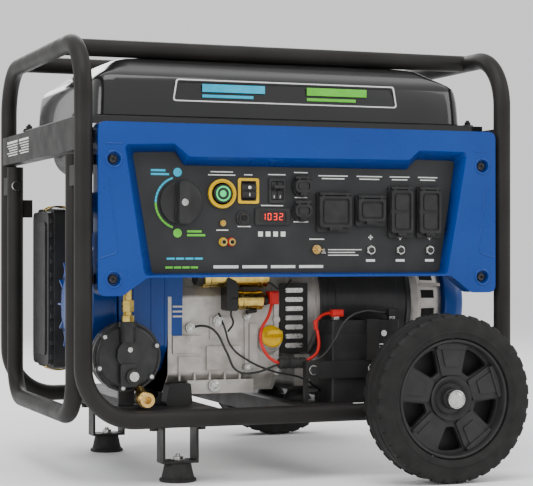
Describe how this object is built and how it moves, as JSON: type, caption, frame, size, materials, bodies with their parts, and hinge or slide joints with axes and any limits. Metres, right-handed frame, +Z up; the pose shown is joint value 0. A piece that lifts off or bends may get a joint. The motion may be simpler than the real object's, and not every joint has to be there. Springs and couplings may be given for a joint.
{
  "type": "portable generator",
  "caption": "Open-frame portable generator on two wheels and two feet, with a fold-down handle, fuel tank, switched control panel, engine, alternator, battery and gas regulator.",
  "frame": {"origin": "on the ground under the middle of the frame", "axes": "+X to the wheel end along the frame's length, -Y to the control panel, +Z up"},
  "size_m": [0.7586, 0.8346, 0.7143],
  "materials": {
    "frame_paint": "satin powder coat",
    "dark_steel": "satin powder coat",
    "zinc": "bright zinc plate",
    "rubber": "matt",
    "tyre": "matt",
    "rim_plastic": "moulded",
    "tank_paint": "gloss",
    "black_plastic": "moulded",
    "gauge": "clear over white",
    "blue_plastic": "moulded",
    "panel_grey": "printed",
    "yellow_plastic": "moulded",
    "display": "smoked",
    "gilt": "plated",
    "cast_alu": "sand cast",
    "blue_paint": "gloss",
    "steel": "machined",
    "hot_steel": "heat dulled",
    "gold_zinc": "yellow passivated",
    "battery_case": "moulded",
    "red_lead": "satin",
    "regulator": "satin"
  },
  "bodies": {
    "frame": {"end_hoops": "frame_paint", "long_rails": "frame_paint", "cross_members": "dark_steel", "frame_brackets": "dark_steel", "stub_axles": "zinc", "rubber_feet": "rubber", "fuel_tank": "tank_paint", "fuel_gauge": "gauge", "tank_mounts": "black_plastic", "vapour_canister": "black_plastic", "panel_fascia": "blue_plastic", "control_plate": "panel_grey", "panel_box": "black_plastic", "panel_screws": "steel", "switch_bezels": "yellow_plastic", "display_module": "display", "panel_jacks": "gilt", "receptacles": "black_plastic", "breaker_collars": "zinc", "ground_terminal": "gilt", "crankcase": "cast_alu", "cylinder_head": "cast_alu", "blower_shroud": "blue_paint", "recoil_cover": "blue_paint", "starter_motor": "gold_zinc", "air_cleaner": "black_plastic", "carburettor": "cast_alu", "muffler": "hot_steel", "alternator_body": "dark_steel", "end_bell": "cast_alu", "end_cover": "blue_paint", "louvre_plate": "zinc", "engine_mounts": "rubber", "battery": "battery_case", "battery_clamp": "dark_steel", "battery_leads": "red_lead", "gas_regulator": "regulator", "regulator_fittings": "gilt"},
    "front_wheel": {"front_tyre": "tyre", "front_rim": "rim_plastic"},
    "rear_wheel": {"rear_tyre": "tyre", "rear_rim": "rim_plastic"},
    "handle": {"fold_handle": "frame_paint"},
    "cap": {"fuel_cap": "black_plastic"},
    "selector": {"selector_knob": "black_plastic"},
    "start": {"start_button": "black_plastic"},
    "rocker": {"rocker_switch": "black_plastic"},
    "breaker": {"twin_breaker": "black_plastic"},
    "round_lid_upper": {"upper_round_cover": "black_plastic"},
    "round_lid_lower": {"lower_round_cover": "black_plastic"},
    "lid_50a": {"cover_50a": "black_plastic"},
    "lid_30a": {"cover_30a": "black_plastic"},
    "lid_duplex_left": {"left_duplex_cover": "black_plastic"},
    "lid_duplex_right": {"right_duplex_cover": "black_plastic"},
    "reset_left": {"reset_button_left": "black_plastic"},
    "reset_middle": {"reset_button_middle": "black_plastic"},
    "reset_right": {"reset_button_right": "black_plastic"},
    "recoil_grip": {"recoil_handle": "black_plastic"},
    "rotor": {"crank_rotor": "steel"},
    "dipstick": {"oil_cap": "yellow_plastic"}
  },
  "joints": [
    {"name": "front_wheel_spin", "type": "hinge", "parent": "frame", "child": "front_wheel", "pos_m": [0.204, -0.3803, 0.135], "axis": [0, 1, 0], "continuous": true},
    {"name": "rear_wheel_spin", "type": "hinge", "parent": "frame", "child": "rear_wheel", "pos_m": [0.204, 0.3803, 0.135], "axis": [0, 1, 0], "continuous": true},
    {"name": "handle_fold", "type": "hinge", "parent": "frame", "child": "handle", "pos_m": [-0.365, 0, 0.487], "axis": [0, 1, 0], "range_deg": [0, 90]},
    {"name": "fuel_cap_turn", "type": "hinge", "parent": "frame", "child": "cap", "pos_m": [-0.088, 0, 0.69], "axis": [0, 0, 1], "range_deg": [0, 120]},
    {"name": "selector_turn", "type": "hinge", "parent": "frame", "child": "selector", "pos_m": [-0.205, -0.262, 0.446], "axis": [0, 1, 0], "range_deg": [-90, 90]},
    {"name": "start_push", "type": "slide", "parent": "frame", "child": "start", "axis": [0, 1, 0], "range_m": [0, 0.003], "stiffness_N_per_m": 400},
    {"name": "rocker_tip", "type": "hinge", "parent": "frame", "child": "rocker", "pos_m": [-0.091, -0.259, 0.466], "axis": [1, 0, 0], "range_deg": [-9, 9]},
    {"name": "breaker_flip", "type": "hinge", "parent": "frame", "child": "breaker", "pos_m": [-0.042, -0.26, 0.467], "axis": [1, 0, 0], "range_deg": [0, 48]},
    {"name": "upper_round_lift", "type": "hinge", "parent": "frame", "child": "round_lid_upper", "pos_m": [0, -0.2707, 0.4885], "axis": [-1, 0, 0], "range_deg": [0, 100]},
    {"name": "lower_round_lift", "type": "hinge", "parent": "frame", "child": "round_lid_lower", "pos_m": [0, -0.2707, 0.4485], "axis": [-1, 0, 0], "range_deg": [0, 100]},
    {"name": "lid_50a_lift", "type": "hinge", "parent": "frame", "child": "lid_50a", "pos_m": [0, -0.2707, 0.4625], "axis": [-1, 0, 0], "range_deg": [0, 100]},
    {"name": "lid_30a_lift", "type": "hinge", "parent": "frame", "child": "lid_30a", "pos_m": [0, -0.2707, 0.4585], "axis": [-1, 0, 0], "range_deg": [0, 100]},
    {"name": "duplex_left_lift", "type": "hinge", "parent": "frame", "child": "lid_duplex_left", "pos_m": [0, -0.2707, 0.4735], "axis": [-1, 0, 0], "range_deg": [0, 100]},
    {"name": "duplex_right_lift", "type": "hinge", "parent": "frame", "child": "lid_duplex_right", "pos_m": [0, -0.2707, 0.4735], "axis": [-1, 0, 0], "range_deg": [0, 100]},
    {"name": "reset_left_trip", "type": "slide", "parent": "frame", "child": "reset_left", "axis": [0, -1, 0], "range_m": [0, 0.004]},
    {"name": "reset_middle_trip", "type": "slide", "parent": "frame", "child": "reset_middle", "axis": [0, -1, 0], "range_m": [0, 0.004]},
    {"name": "reset_right_trip", "type": "slide", "parent": "frame", "child": "reset_right", "axis": [0, -1, 0], "range_m": [0, 0.004]},
    {"name": "recoil_pull", "type": "slide", "parent": "frame", "child": "recoil_grip", "axis": [-1, 0, 0], "range_m": [0, 0.5]},
    {"name": "rotor_spin", "type": "hinge", "parent": "frame", "child": "rotor", "pos_m": [0, -0.085, 0.28], "axis": [1, 0, 0], "continuous": true},
    {"name": "dipstick_turn", "type": "hinge", "parent": "frame", "child": "dipstick", "pos_m": [-0.028, -0.197, 0.226], "axis": [0, -0.9135, 0.4067], "range_deg": [0, 150]}
  ]
}
